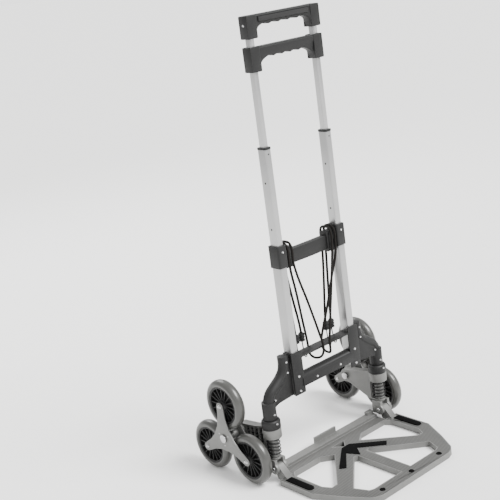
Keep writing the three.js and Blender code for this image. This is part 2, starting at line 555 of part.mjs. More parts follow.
// ---- assembly ----
const middlePatch = [[12, -46], [-16, -46], [-88, -110], [-75, -121], [-21, -70], [16, -74], [85, -110]];
const stripOutline = [[STRUT_X - 11, -126], [STRUT_X + 18, -126], [STRUT_X + 18, -44], [STRUT_X - 13, -44]];

place('lower_frame', lowerFrame(), darkPaint);
place('mid_crossbar', crossbar(), blackPlastic);
place('top_handle', topHandle(), blackPlastic);
place('handle_soft_grip', softGrip(), softPlastic);
place('release_grip', releaseGrip(), blackPlastic);
place('toe_plate', toePlate(), castSilver);
place('grip_pad_middle', gripPad(middlePatch), blackRubber);

for (const [label, side] of [['left', -1], ['right', 1]]) {
  place(`${label}_outer_tube`, forSide(side, tube(OUTER_TUBE, OUTER_TUBE.bottom, OUTER_TUBE.top)), aluminium);
  place(`${label}_middle_tube`, forSide(side, tube(MIDDLE_TUBE, middleBottom, MIDDLE_TUBE.top)), aluminium);
  place(`${label}_collar_ring`, forSide(side, collarRing()), blackPlastic);
  place(`${label}_inner_tube`, forSide(side, innerTube()), aluminium);
  place(`${label}_release_rod`, forSide(side, releaseRod()), steel);
  place(`${label}_shoulder`, forSide(side, shoulder()), blackPlastic);
  place(`${label}_strut_collar`, forSide(side, strutCollar()), blackPlastic);
  place(`${label}_strut_foot`, forSide(side, strutFoot()), castSilver);
  place(`${label}_hinge_pin`, forSide(side, hingePin()), steel);
  place(`${label}_strut_spring`, forSide(side, coil(STRUT_X, 0, SPRING.coil, SPRING.wire, SPRING.turns,
    SPRING.bottom, SPRING.top, 60, 5)), steel);
  place(`${label}_wheel_bracket`, forSide(side, wheelBracket()), castSilver);
  place(`${label}_cluster_axle`, forSide(side, clusterAxle()), steel);
  place(`${label}_spider_inner`, forSide(side, innerSpider()), castSilver);
  place(`${label}_spider_outer`, forSide(side, spiderPlate(spiderOuterFace - SPIDER.thick)), castSilver);
  place(`${label}_grip_strip`, forSide(side, gripPad(stripOutline)),
    blackRubber);
  armAngles.forEach((angle, i) => {
    place(`${label}_tyre_${i + 1}`, forSide(side, tyre(angle)), tyreRubber);
    place(`${label}_rim_${i + 1}`, forSide(side, rim(angle)), blackPlastic);
  });
  place(`${label}_cord`, forSide(side, sweep(cordRoute, CORD_R, 64, 8)), cordFabric);
  for (const { name, x, y } of cordEndPlaces) {
    place(`${label}_cord_end_${name}`, forSide(side, cordEnd(x, y)), blackPlastic);
  }
}

export default truck;
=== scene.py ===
# %% [markdown]
# The lesson starts from a measured frame: a folding hand truck whose parts already have their sizes
# and joints. Everything made below goes round that frame, in metres, so nothing is fitted by eye.

# %% Load the frame
import json
import math
import bmesh
import bpy
from mathutils import Matrix, Vector


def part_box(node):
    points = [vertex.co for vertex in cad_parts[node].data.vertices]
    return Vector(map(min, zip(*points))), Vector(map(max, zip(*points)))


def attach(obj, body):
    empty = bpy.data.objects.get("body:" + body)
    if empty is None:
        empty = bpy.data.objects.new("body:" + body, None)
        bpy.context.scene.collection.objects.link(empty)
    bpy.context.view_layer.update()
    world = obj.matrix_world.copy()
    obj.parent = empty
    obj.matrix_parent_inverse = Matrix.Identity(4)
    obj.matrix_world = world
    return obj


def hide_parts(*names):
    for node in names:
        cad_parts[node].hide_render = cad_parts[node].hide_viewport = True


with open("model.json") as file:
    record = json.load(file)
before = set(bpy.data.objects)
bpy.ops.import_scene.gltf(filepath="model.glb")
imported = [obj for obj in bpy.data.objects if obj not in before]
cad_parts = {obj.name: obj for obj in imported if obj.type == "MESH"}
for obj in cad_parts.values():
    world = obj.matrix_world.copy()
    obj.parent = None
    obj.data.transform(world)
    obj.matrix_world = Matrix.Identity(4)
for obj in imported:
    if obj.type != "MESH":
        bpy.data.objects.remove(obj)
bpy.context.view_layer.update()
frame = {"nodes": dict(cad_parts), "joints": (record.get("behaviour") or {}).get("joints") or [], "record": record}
nodes = frame["nodes"]
MM = 0.001
SIDES = {"left": -1, "right": 1}
bodies = frame["record"]["behaviour"]["bodies"]
body_of = {node: body for body, members in bodies.items() for node in members}
slot_of = {part["node"]: part["material_slot"] for part in frame["record"]["subparts"]}
joint_place = {joint["name"]: joint.get("pos_m") for joint in frame["joints"]}
print("parts in the frame:", len(nodes))

# %% [markdown]
# The camera stands to the left of the truck and a little above its middle. A camera looks along its
# own -Z, so its matrix is built from the right, up and backward directions, with a small roll.

# %% Camera
CAMERA_PLACE = Vector((-1.619, -1.745, 1.232))
CAMERA_AZIMUTH, CAMERA_ELEVATION, CAMERA_ROLL = (math.radians(a) for a in (-39.49, 16.05, -7.96))
LENS_MM, SENSOR_MM = 74.1, 36.0
camera_data = bpy.data.cameras.new("camera")
camera_data.lens = LENS_MM
camera_data.sensor_width = SENSOR_MM
camera = bpy.data.objects.new("camera", camera_data)
bpy.context.collection.objects.link(camera)
ahead = Vector((-math.sin(CAMERA_AZIMUTH) * math.cos(CAMERA_ELEVATION),
                math.cos(CAMERA_AZIMUTH) * math.cos(CAMERA_ELEVATION), -math.sin(CAMERA_ELEVATION)))
level = Vector((math.cos(CAMERA_AZIMUTH), math.sin(CAMERA_AZIMUTH), 0))
above = level.cross(ahead)
right = level * math.cos(CAMERA_ROLL) + above * math.sin(CAMERA_ROLL)
up = above * math.cos(CAMERA_ROLL) - level * math.sin(CAMERA_ROLL)
turn = Matrix((right, up, -ahead)).transposed().to_4x4()
camera.matrix_world = Matrix.Translation(CAMERA_PLACE) @ turn
bpy.context.scene.camera = camera
print("camera distance in metres:", round(CAMERA_PLACE.length, 2))

# %% [markdown]
# A product stands best in soft, even light. A wide sun from the front right lights the whole floor
# and the tubes' fronts. A weak lamp fills the left side, and one behind draws a rim of light. Area
# lamps are discs here, because a large disc gives a shadow without a hard edge.

# %% Lamps
def area_light(name, place, aim, size, power):
    data = bpy.data.lights.new(name, "AREA")
    data.shape = "DISK"
    data.size = size
    data.energy = power
    lamp = bpy.data.objects.new(name, data)
    bpy.context.collection.objects.link(lamp)
    lamp.location = place
    lamp.rotation_euler = (Vector(aim) - Vector(place)).to_track_quat("-Z", "Y").to_euler()


sun_data = bpy.data.lights.new("key", "SUN")
sun_data.energy = 6.0
sun_data.angle = math.radians(28)
sun = bpy.data.objects.new("key", sun_data)
bpy.context.collection.objects.link(sun)
sun.rotation_euler = Vector((-0.42, 1.0, -1.25)).to_track_quat("-Z", "Y").to_euler()
area_light("fill", (-2.6, -1.4, 1.6), (0, 0, 0.4), 2.0, 8)
area_light("rim_light", (0.6, 2.8, 2.6), (0, 0, 0.6), 1.8, 60)

# %% [markdown]
# The world is a plain white sphere that lifts every shadow. Where it is seen directly it is made as
# pale as the floor, so no horizon cuts the picture: a Light Path node picks one of two backgrounds.

# %% World
WORLD_LIGHT, WORLD_SEEN = 1.08, 2.2
world = bpy.data.worlds.new("studio")
bpy.context.scene.world = world
world.use_nodes = True
studio = world.node_tree
soft_light = studio.nodes["Background"]
soft_light.inputs["Color"].default_value = (1, 1, 1, 1)
soft_light.inputs["Strength"].default_value = WORLD_LIGHT
backdrop = studio.nodes.new("ShaderNodeBackground")
backdrop.inputs["Color"].default_value = (1, 1, 1, 1)
backdrop.inputs["Strength"].default_value = WORLD_SEEN
seen = studio.nodes.new("ShaderNodeLightPath")
choice = studio.nodes.new("ShaderNodeMixShader")
studio.links.new(seen.outputs["Is Camera Ray"], choice.inputs["Fac"])
studio.links.new(soft_light.outputs["Background"], choice.inputs[1])
studio.links.new(backdrop.outputs["Background"], choice.inputs[2])
studio.links.new(choice.outputs["Shader"], studio.nodes["World Output"].inputs["Surface"])

print("world strength, lighting and seen:", WORLD_LIGHT, WORLD_SEEN)

# %% [markdown]
# The floor is one large square just under the wheels.

# %% Floor
FLOOR_HALF, FLOOR_DROP = 60, 0.0005
floor_mesh = bmesh.new()
bmesh.ops.create_grid(floor_mesh, x_segments=1, y_segments=1, size=FLOOR_HALF)
floor_data = bpy.data.meshes.new("floor")
floor_mesh.to_mesh(floor_data)
floor = bpy.data.objects.new("floor", floor_data)
bpy.context.collection.objects.link(floor)
floor.location.z = -FLOOR_DROP
floor_look = bpy.data.materials.new("pale_floor")
floor_look.use_nodes = True
floor_shader = floor_look.node_tree.nodes["Principled BSDF"]
floor_shader.inputs["Base Color"].default_value = (0.95, 0.95, 0.94, 1)
floor_shader.inputs["Roughness"].default_value = 0.75
floor_data.materials.append(floor_look)
print("floor side in metres:", 2 * FLOOR_HALF)

# %% [markdown]
# Some effects come back in most finishes, so each is a node group, built once and placed in every
# material with its own values. Two helpers are shared by them: one makes an empty group with named
# sockets, the other a noise texture on the object's own coordinates.

# %% Helpers for node groups
def new_group(name, inputs, outputs):
    group = bpy.data.node_groups.new(name, "ShaderNodeTree")
    for label, kind, value in inputs:
        socket = group.interface.new_socket(name=label, in_out="INPUT", socket_type=kind)
        socket.default_value = value
    for label, kind in outputs:
        group.interface.new_socket(name=label, in_out="OUTPUT", socket_type=kind)
    return group, group.nodes.new("NodeGroupInput"), group.nodes.new("NodeGroupOutput")


def noise_in(tree, scale_from, detail, stretch=(1, 1, 1)):
    place = tree.nodes.new("ShaderNodeTexCoord")
    mapping = tree.nodes.new("ShaderNodeMapping")
    mapping.inputs["Scale"].default_value = stretch
    noise = tree.nodes.new("ShaderNodeTexNoise")
    noise.inputs["Detail"].default_value = detail
    tree.links.new(place.outputs["Object"], mapping.inputs["Vector"])
    tree.links.new(mapping.outputs["Vector"], noise.inputs["Vector"])
    tree.links.new(scale_from, noise.inputs["Scale"])
    return noise.outputs["Fac"]


COLOR, FLOAT, VECTOR = "NodeSocketColor", "NodeSocketFloat", "NodeSocketVector"
print("sockets used by the groups:", COLOR, FLOAT, VECTOR)

# %% [markdown]
# No real surface has one even colour. "mottle" drifts slowly between two close colours.

# %% Mottle
mottle, mottle_in, mottle_out = new_group(
    "mottle", [("Colour A", COLOR, (1, 1, 1, 1)), ("Colour B", COLOR, (0, 0, 0, 1)), ("Scale", FLOAT, 30)],
    [("Colour", COLOR)])
mottle_mix = mottle.nodes.new("ShaderNodeMix")
mottle_mix.data_type = "RGBA"
mottle.links.new(noise_in(mottle, mottle_in.outputs["Scale"], 4), mottle_mix.inputs["Factor"])
mottle.links.new(mottle_in.outputs["Colour A"], mottle_mix.inputs[6])
mottle.links.new(mottle_in.outputs["Colour B"], mottle_mix.inputs[7])
mottle.links.new(mottle_mix.outputs[2], mottle_out.inputs["Colour"])
print("mottle nodes:", len(mottle.nodes))

# %% [markdown]
# "grain" gives the fine height of a moulded or painted skin, for a Bump node to read. "drawn_lines"
# is the same noise stretched along Z, as a tube is when it's pulled through its die.

# %% Grain and drawn lines
grain, grain_in, grain_out = new_group("grain", [("Scale", FLOAT, 900)], [("Height", FLOAT)])
grain.links.new(noise_in(grain, grain_in.outputs["Scale"], 2), grain_out.inputs["Height"])

brush, brush_in, brush_out = new_group("drawn_lines", [("Scale", FLOAT, 400)], [("Height", FLOAT)])
brush.links.new(noise_in(brush, brush_in.outputs["Scale"], 3, (1, 1, 0.02)), brush_out.inputs["Height"])
print("height groups:", grain.name, "and", brush.name)

# %% [markdown]
# Paint and castings are rubbed bright along their edges. "edge_wear" compares the surface's normal
# with that of a rounded copy of itself from a Bevel node, and lightens it where the two differ.
# Pointiness could do this on a dense mesh, but here it would paint whole faces.

# %% Edge wear
EDGE_RADIUS = 0.0012
wear, wear_in, wear_out = new_group(
    "edge_wear", [("Surface", COLOR, (0, 0, 0, 1)), ("Worn", COLOR, (1, 1, 1, 1)), ("Amount", FLOAT, 0.5)],
    [("Colour", COLOR)])
wear_geometry = wear.nodes.new("ShaderNodeNewGeometry")
wear_round = wear.nodes.new("ShaderNodeBevel")
wear_round.samples = 4
wear_round.inputs["Radius"].default_value = EDGE_RADIUS
wear_dot = wear.nodes.new("ShaderNodeVectorMath")
wear_dot.operation = "DOT_PRODUCT"
wear_ramp = wear.nodes.new("ShaderNodeMapRange")
wear_ramp.inputs["From Min"].default_value = 0.99
wear_ramp.inputs["From Max"].default_value = 0.86
wear_scale = wear.nodes.new("ShaderNodeMath")
wear_scale.operation = "MULTIPLY"
wear_mix = wear.nodes.new("ShaderNodeMix")
wear_mix.data_type = "RGBA"
wear.links.new(wear_geometry.outputs["Normal"], wear_dot.inputs[0])
wear.links.new(wear_round.outputs["Normal"], wear_dot.inputs[1])
wear.links.new(wear_dot.outputs["Value"], wear_ramp.inputs["Value"])
wear.links.new(wear_ramp.outputs["Result"], wear_scale.inputs[0])
wear.links.new(wear_in.outputs["Amount"], wear_scale.inputs[1])
wear.links.new(wear_scale.outputs["Value"], wear_mix.inputs["Factor"])
wear.links.new(wear_in.outputs["Surface"], wear_mix.inputs[6])
wear.links.new(wear_in.outputs["Worn"], wear_mix.inputs[7])
wear.links.new(wear_mix.outputs[2], wear_out.inputs["Colour"])
print("radius read as an edge, in mm:", EDGE_RADIUS / MM)

# %% [markdown]
# The plate's fine ribs and the cords' braid are the same effect: parallel ridges with a darker valley
# between them, which is painted shade standing for the shadow in each groove. A wave texture makes them, across
# whatever direction the finish asks for.

# %% Ribs with painted valley shade
# The valley colour is painted shade, not a different material; the last input sets how far the valleys darken
# towards it.
ribs, ribs_in, ribs_out = new_group(
    "ribs", [("Surface", COLOR, (1, 1, 1, 1)), ("Valley", COLOR, (0, 0, 0, 1)),
             ("Direction", VECTOR, (1, 0, 0)), ("Scale", FLOAT, 60), ("Depth", FLOAT, 0.75)],
    [("Colour", COLOR), ("Height", FLOAT)])
ribs_place = ribs.nodes.new("ShaderNodeTexCoord")
ribs_across = ribs.nodes.new("ShaderNodeVectorMath")
ribs_across.operation = "DOT_PRODUCT"
ribs_line = ribs.nodes.new("ShaderNodeCombineXYZ")
ribs_wave = ribs.nodes.new("ShaderNodeTexWave")
ribs_wave.inputs["Distortion"].default_value = 0
ribs_fade = ribs.nodes.new("ShaderNodeMapRange")
ribs_fade.inputs["From Min"].default_value = 1.0
ribs_fade.inputs["From Max"].default_value = 0.0
ribs_mix = ribs.nodes.new("ShaderNodeMix")
ribs_mix.data_type = "RGBA"
ribs.links.new(ribs_place.outputs["Object"], ribs_across.inputs[0])
ribs.links.new(ribs_in.outputs["Direction"], ribs_across.inputs[1])
ribs.links.new(ribs_across.outputs["Value"], ribs_line.inputs["X"])
ribs.links.new(ribs_line.outputs["Vector"], ribs_wave.inputs["Vector"])
ribs.links.new(ribs_in.outputs["Scale"], ribs_wave.inputs["Scale"])
ribs.links.new(ribs_wave.outputs["Fac"], ribs_fade.inputs["Value"])
ribs.links.new(ribs_in.outputs["Depth"], ribs_fade.inputs["To Max"])
ribs.links.new(ribs_fade.outputs["Result"], ribs_mix.inputs["Factor"])
ribs.links.new(ribs_in.outputs["Surface"], ribs_mix.inputs[6])
ribs.links.new(ribs_in.outputs["Valley"], ribs_mix.inputs[7])
ribs.links.new(ribs_mix.outputs[2], ribs_out.inputs["Colour"])
ribs.links.new(ribs_wave.outputs["Fac"], ribs_out.inputs["Height"])
print("shared groups:", [group.name for group in (mottle, grain, brush, wear, ribs)])

# %% [markdown]
# Each finish is one Principled shader. What is the same everywhere, such as roughness, sits on the
# shader's own socket; only the colour and the bump are fed by the groups above. One helper builds
# them all, so that two finishes differ only in the values they are given.

# %% One finish
BUMP_HEIGHT = 0.4 * MM


def place_group(tree, group, **values):
    node = tree.nodes.new("ShaderNodeGroup")
    node.node_tree = group
    for label, value in values.items():
        node.inputs[label.replace("_", " ")].default_value = value
    return node


def shade(grey, tint=(1, 1, 1)):
    return (grey * tint[0], grey * tint[1], grey * tint[2], 1)


def finish(name, dark, light, roughness, metallic, mottle_scale, grain_scale, grain_depth,
           pattern=None, worn=None, wear_amount=0.3, coat=0.0, ridges=None, specular=0.5):
    look = bpy.data.materials.new(name)
    look.use_nodes = True
    tree = look.node_tree
    shader = tree.nodes["Principled BSDF"]
    shader.inputs["Roughness"].default_value = roughness
    shader.inputs["Metallic"].default_value = metallic
    shader.inputs["Coat Weight"].default_value = coat
    shader.inputs["Specular IOR Level"].default_value = specular
    colour = place_group(tree, mottle, Colour_A=dark, Colour_B=light, Scale=mottle_scale).outputs["Colour"]
    if worn:
        edge = place_group(tree, wear, Worn=worn, Amount=wear_amount)
        tree.links.new(colour, edge.inputs["Surface"])
        colour = edge.outputs["Colour"]
    tree.links.new(colour, shader.inputs["Base Color"])
    bump = tree.nodes.new("ShaderNodeBump")
    bump.inputs["Strength"].default_value = grain_depth
    bump.inputs["Distance"].default_value = BUMP_HEIGHT
    if ridges:
        direction, ridge_scale = ridges
        # The valley colour, a quarter of the finish's dark colour, is painted shade for the grooves between
        # ridges.
        lines = place_group(tree, ribs, Valley=shade(dark[0] * 0.25), Direction=direction, Scale=ridge_scale)
        tree.links.new(colour, lines.inputs["Surface"])
        tree.links.new(lines.outputs["Colour"], shader.inputs["Base Color"])
    else:
        lines = place_group(tree, pattern or grain, Scale=grain_scale)
    source = lines.outputs["Height"]
    tree.links.new(source, bump.inputs["Height"])
    tree.links.new(bump.outputs["Normal"], shader.inputs["Normal"])
    return look


print("height of the bump in mm:", BUMP_HEIGHT / MM)

# %% [markdown]
# The truck has ten finishes: drawn aluminium, dark powder paint, black plastic and its soft grip, two
# silver castings, bright steel, grey tyre rubber, black anti-slip rubber and the cords' braid.

# %% All finishes
WARM, WARMER = (1, 1, 0.96), (1, 1, 0.95)
FINISHES = {
    "satin_aluminium": dict(dark=shade(0.36), light=shade(0.42), roughness=0.34, metallic=0.8,
                            mottle_scale=18, grain_scale=300, grain_depth=0.05, pattern=brush),
    "dark_paint": dict(dark=shade(0.008), light=shade(0.011), roughness=0.5, metallic=0.0,
                       mottle_scale=30, grain_scale=2200, grain_depth=0.3,
                       worn=shade(0.055), wear_amount=0.6, specular=0.25),
    "black_plastic": dict(dark=shade(0.007), light=shade(0.01), roughness=0.52, metallic=0.0,
                          mottle_scale=35, grain_scale=1800, grain_depth=0.25,
                          worn=shade(0.045), wear_amount=0.6, specular=0.3),
    "soft_grip": dict(dark=shade(0.013), light=shade(0.018), roughness=0.7, metallic=0.0,
                      mottle_scale=50, grain_scale=2600, grain_depth=0.5, specular=0.3),
    "cast_silver": dict(dark=shade(0.13, WARM), light=shade(0.165, WARM), roughness=0.45, metallic=0.3,
                        mottle_scale=40, grain_scale=1500, grain_depth=0.2,
                        worn=shade(0.36), wear_amount=0.6),
    "plate_silver": dict(dark=shade(0.11, WARMER), light=shade(0.14, WARMER), roughness=0.5, metallic=0.25,
                         mottle_scale=40, grain_scale=0, grain_depth=0.9,
                         worn=shade(0.3), wear_amount=0.5, ridges=((1, 0, 0), 60)),
    "bright_steel": dict(dark=shade(0.42), light=shade(0.5), roughness=0.26, metallic=0.95,
                         mottle_scale=60, grain_scale=700, grain_depth=0.05),
    "grey_tyre": dict(dark=shade(0.042, (1, 1, 0.93)), light=shade(0.055, (1, 1, 0.93)), roughness=0.34,
                      metallic=0.0, mottle_scale=30, grain_scale=1200, grain_depth=0.08, coat=0.15),
    "grip_rubber": dict(dark=shade(0.0015), light=shade(0.004), roughness=0.9, metallic=0.0,
                        mottle_scale=60, grain_scale=3000, grain_depth=0.8, specular=0.06),
    "cord_braid": dict(dark=shade(0.005), light=shade(0.014, (1, 0.75, 0.55)), roughness=0.8,
                       metallic=0.0, mottle_scale=900, grain_scale=0, grain_depth=0.9,
                       ridges=((0.5, 0.5, 0.5), 190), specular=0.2),
}
looks = {name: finish(name, **values) for name, values in FINISHES.items()}
print("finishes:", len(looks))

# %% [markdown]
# Each piece made here takes over one or more solids of the frame. It's told which body it rides on,
# which slot its material fills and which solids it replaces. Angles above a limit stay crisp.

# %% Placing a piece
SHARP_ANGLE = math.radians(32)


def add_piece(name, mesh, look, body, replaced=(), second=None):
    data = bpy.data.meshes.new(name)
    for face in mesh.faces:
        face.smooth = True
    for edge in mesh.edges:
        if len(edge.link_faces) == 2 and edge.calc_face_angle() > SHARP_ANGLE:
            edge.smooth = False
    mesh.to_mesh(data)
    mesh.free()
    data.materials.append(looks[look])
    if second:
        data.materials.append(looks[second])
    piece = bpy.data.objects.new(name, data)
    bpy.context.collection.objects.link(piece)
    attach(piece, body)
    if replaced:
        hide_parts(*replaced)
    return piece


print("edges sharper than", round(math.degrees(SHARP_ANGLE)), "degrees stay crisp")

# %% [markdown]
# The frame's solids are faceted and their edges are knife-sharp, which no moulding or pressing is.
# A softened copy merges the loose triangles, dissolves what is flat back into whole faces and bevels
# every real edge. That keeps each size exact and lets the edges catch the light. The grips between
# the handles' sleeves are also slimmed from front to back.

# %% Softened copies
MERGE_GAP, FLAT_ANGLE = 0.002 * MM, math.radians(0.6)
GRIP_HALF = 84


def merged_copy(node, dissolve=True):
    mesh = bmesh.new()
    mesh.from_mesh(nodes[node].data)
    bmesh.ops.remove_doubles(mesh, verts=mesh.verts, dist=MERGE_GAP)
    if dissolve:
        bmesh.ops.dissolve_limit(mesh, angle_limit=FLAT_ANGLE, verts=mesh.verts, edges=mesh.edges)
    return mesh


def bevel_edges(mesh, width, segments=2, least_angle=30):
    sharp = [edge for edge in mesh.edges if len(edge.link_faces) == 2
             and edge.calc_face_angle() > math.radians(least_angle)]
    bmesh.ops.bevel(mesh, geom=sharp, offset=width * MM, segments=segments, profile=0.5, affect="EDGES",
                    material=-1, clamp_overlap=True)


def softened(node, width, slim=1.0):
    mesh = merged_copy(node)
    for vert in mesh.verts:
        if slim != 1.0 and abs(vert.co.x) < GRIP_HALF * MM:
            vert.co.y *= slim
    bevel_edges(mesh, width)
    slot_name = slot_of[node]
    return add_piece(node + "_shell", mesh, slot_name, body_of[node], [node])


print("half width of a grip in mm:", GRIP_HALF)


# %% [markdown]
# Handles, crossbar and castings: mouldings with generous edges. The tubes are drawn sections whose
# edges are already round in the frame, so they only need a hair of bevel at their ends.

# %% Softened parts
SOFT_PARTS = {"mid_crossbar": 1.4, "lower_frame": 0.7, "handle_soft_grip": 0.9}
SIDE_PARTS = {
    "outer_tube": 0.25, "middle_tube": 0.25, "inner_tube": 0.25, "collar_ring": 0.5, "shoulder": 1.2,
    "strut_collar": 0.8, "strut_foot": 0.8, "hinge_pin": 0.5, "wheel_bracket": 0.8, "cluster_axle": 0.7,
    "spider_inner": 0.6, "spider_outer": 0.6, "release_rod": 0.3,
    "cord_end_outer": 0.4, "cord_end_inner": 0.4,
}
softened("top_handle", 1.6, slim=0.9)
softened("release_grip", 1.6, slim=0.72)
for node, width in SOFT_PARTS.items():
    softened(node, width)
for side in SIDES:
    for part, width in SIDE_PARTS.items():
        softened(f"{side}_{part}", width)
print("softened pieces:", 2 + len(SOFT_PARTS) + 2 * len(SIDE_PARTS))

# %% [markdown]
# The toe plate is a casting with a flat top and a hollow underside, stiffened by its own walls. The
# hollow is an inset of the bottom faces pushed upwards, which leaves an even wall round each window.

# %% Toe plate
PLATE_TOP, RIM_WIDTH, FIELD_DROP = 15, 2.2, 0.7
PLATE_WALL, PLATE_HOLLOW = 3.2, 8
plate = merged_copy("toe_plate", dissolve=False)
top = [face for face in plate.faces
       if face.normal.z > 0.99 and abs(face.calc_center_median().z - PLATE_TOP * MM) < 1 * MM]
bmesh.ops.inset_region(plate, faces=top, thickness=RIM_WIDTH * MM, depth=0, use_even_offset=True)
field = list({vert for face in top for vert in face.verts})
bmesh.ops.translate(plate, vec=(0, 0, -FIELD_DROP * MM), verts=field)
for face in top:
    face.material_index = 1
underside = [face for face in plate.faces
             if face.normal.z < -0.99 and face.calc_center_median().z < 1 * MM]
bmesh.ops.inset_region(plate, faces=underside, thickness=PLATE_WALL * MM, depth=0,
                       use_even_offset=True)
hollow = list({vert for face in underside for vert in face.verts})
bmesh.ops.translate(plate, vec=(0, 0, PLATE_HOLLOW * MM), verts=hollow)
add_piece("toe_plate_casting", plate, "cast_silver", "toe", ["toe_plate"], "plate_silver")
print("faces hollowed under the toe plate:", len(underside))

# %% [markdown]
# A wheel is a turned shape, so its tyre, rim ring, hub and disc are profiles spun once round the
# axle. A profile is a list of points: radius, then distance along the axle, both in millimetres.

# %% Wheel profiles
SPIN_STEPS = 56
TYRE_R = 63.5
TYRE_PROFILE = [(48.3, -12), (49.6, -13), (53, -13.5), (57, -12.3), (60.8, -9.2), (62.9, -4.8), (TYRE_R, 0),
                (62.9, 4.8), (60.8, 9.2), (57, 12.3), (53, 13.5), (49.6, 13), (48.3, 12)]
RIM_PROFILE = [(43.4, -11), (48.2, -12), (48.2, 12), (43.4, 11), (42.4, 1.4), (42.4, -1.4)]
HUB_PROFILE = [(5.4, -15.5), (9.5, -15.5), (11.5, -13.5), (13, -10), (13, 10), (11.5, 13.5),
               (9.5, 15.5), (5.4, 15.5)]
DISC_PROFILE = [(12.6, -1.3), (43, -1.3), (43, 1.3), (12.6, 1.3)]


def spun(mesh, profile, centre):
    verts = [mesh.verts.new(centre + Vector((a * MM, 0, r * MM))) for r, a in profile]
    edges = [mesh.edges.new(pair) for pair in zip(verts, verts[1:] + verts[:1])]
    bmesh.ops.spin(mesh, geom=verts + edges, cent=centre, axis=(1, 0, 0), dvec=(0, 0, 0),
                   angle=2 * math.pi, steps=SPIN_STEPS, use_merge=True, use_duplicate=False)


print("faces round each turned shape:", SPIN_STEPS)

# %% [markdown]
# The spokes are thin ribs, a little wider at the rim than at the hub. One cube, tapered and turned,
# makes each of them.

# %% Spokes
SPOKES, SPOKE_THICK = 16, 1.9


def spoke(mesh, centre, angle):
    made = bmesh.ops.create_cube(mesh, size=1)["verts"]
    inner, outer = 12.2 * MM, 43.6 * MM
    bmesh.ops.scale(mesh, vec=(1, SPOKE_THICK * MM, outer - inner), verts=made)
    bmesh.ops.translate(mesh, vec=(0, 0, (inner + outer) / 2), verts=made)
    for vert in made:
        half = 8.5 * MM if vert.co.z < (inner + outer) / 2 else 9.5 * MM
        vert.co.x = math.copysign(half, vert.co.x)
    bmesh.ops.rotate(mesh, cent=(0, 0, 0), matrix=Matrix.Rotation(angle, 3, "X"), verts=made)
    bmesh.ops.translate(mesh, vec=centre, verts=made)


print("spokes in a wheel:", SPOKES)

# %% [markdown]
# All six wheels are the same, each set on its own joint. A spin can turn a closed shell inside out,
# so the normals are recalculated before the mesh becomes a piece.

# %% Six wheels
for side in SIDES:
    for number in (1, 2, 3):
        centre = Vector(joint_place[f"{side}_wheel_{number}_spin"])
        body = f"{side}_wheel_{number}"
        tyre = bmesh.new()
        spun(tyre, TYRE_PROFILE, centre)
        bmesh.ops.recalc_face_normals(tyre, faces=tyre.faces)
        add_piece(f"{side}_tyre_{number}_round", tyre, "grey_tyre", body, [f"{side}_tyre_{number}"])
        rim = bmesh.new()
        for profile in (RIM_PROFILE, HUB_PROFILE, DISC_PROFILE):
            spun(rim, profile, centre)
        for i in range(SPOKES):
            spoke(rim, centre, 2 * math.pi * i / SPOKES)
        bmesh.ops.recalc_face_normals(rim, faces=rim.faces)
        add_piece(f"{side}_rim_{number}_spoked", rim, "black_plastic", body, [f"{side}_rim_{number}"])
print("wheel diameter in mm:", 2 * TYRE_R)

# %% [markdown]
# Rivets and screw heads are small turned domes. One helper makes a head on any face: a short cone,
# with its top bevelled round, turned to the face's direction. Heads on one body share one mesh.

# %% One head
def head(mesh, place, direction, radius, rise, socket=False):
    made = bmesh.ops.create_cone(mesh, cap_ends=True, segments=20, radius1=radius * MM,
                                 radius2=radius * 0.72 * MM, depth=rise * MM)["verts"]
    top = [face for face in mesh.faces if all(v in made and v.co.z > 0 for v in face.verts)]
    if socket:
        ring = bmesh.ops.inset_region(mesh, faces=top, thickness=radius * 0.34 * MM, depth=0)["faces"]
        dish = list({v for face in top for v in face.verts})
        bmesh.ops.translate(mesh, vec=(0, 0, -rise * 0.6 * MM), verts=dish)
        made = list(set(made) | {v for face in top + ring for v in face.verts})
    turn_to = Vector(direction).to_track_quat("Z", "Y").to_matrix().to_4x4()
    lift = Matrix.Translation(Vector((0, 0, rise * MM / 2)))
    bmesh.ops.transform(mesh, matrix=Matrix.Translation([c * MM for c in place]) @ turn_to @ lift, verts=made)


def heads(name, body, rows, look="bright_steel"):
    mesh = bmesh.new()
    for place, direction, radius, rise, socket in rows:
        head(mesh, place, direction, radius, rise, socket)
    add_piece(name, mesh, look, body)


FRONT = (0, -1, 0)
print("the front faces", FRONT)

# %% [markdown]
# The frame is riveted: two in each front plate, two in the lower channel, four down each shoulder and
# one in each strut collar. One socket screw holds each bracket of the crossbar. The truck is the same
# on both sides, so each place is written once and mirrored by the sign of s.

# %% Frame rivets
frame_heads = []
for s in (-1, 1):
    frame_heads += [((s * 99, -18.8, z), FRONT, 3.4, 1.7, False) for z in (201, 239)]
    frame_heads += [((s * 41, -21.2, 219), FRONT, 3.2, 1.6, False)]
    frame_heads += [((s * 129, -12.4, z), FRONT, 3.2, 1.9, False) for z in (259, 286)]
    frame_heads += [((s * 178, -12.4, 206), FRONT, 3.0, 1.8, False)]
    frame_heads += [((s * 190, -16.6, 174), FRONT, 3.0, 1.8, False)]
    frame_heads += [((s * 191, -23.3, 152), FRONT, 3.0, 1.5, False)]
    frame_heads += [((s * 99, -18, 554), FRONT, 2.8, 1.3, True)]
heads("frame_rivets", "root", frame_heads)
print("heads on the frame:", len(frame_heads))

# %% [markdown]
# A socket screw holds each end of the top handle. The snap buttons of the telescope show as small
# dark dots on the middle tubes. They stand almost flush, so that they pass into the outer tubes.

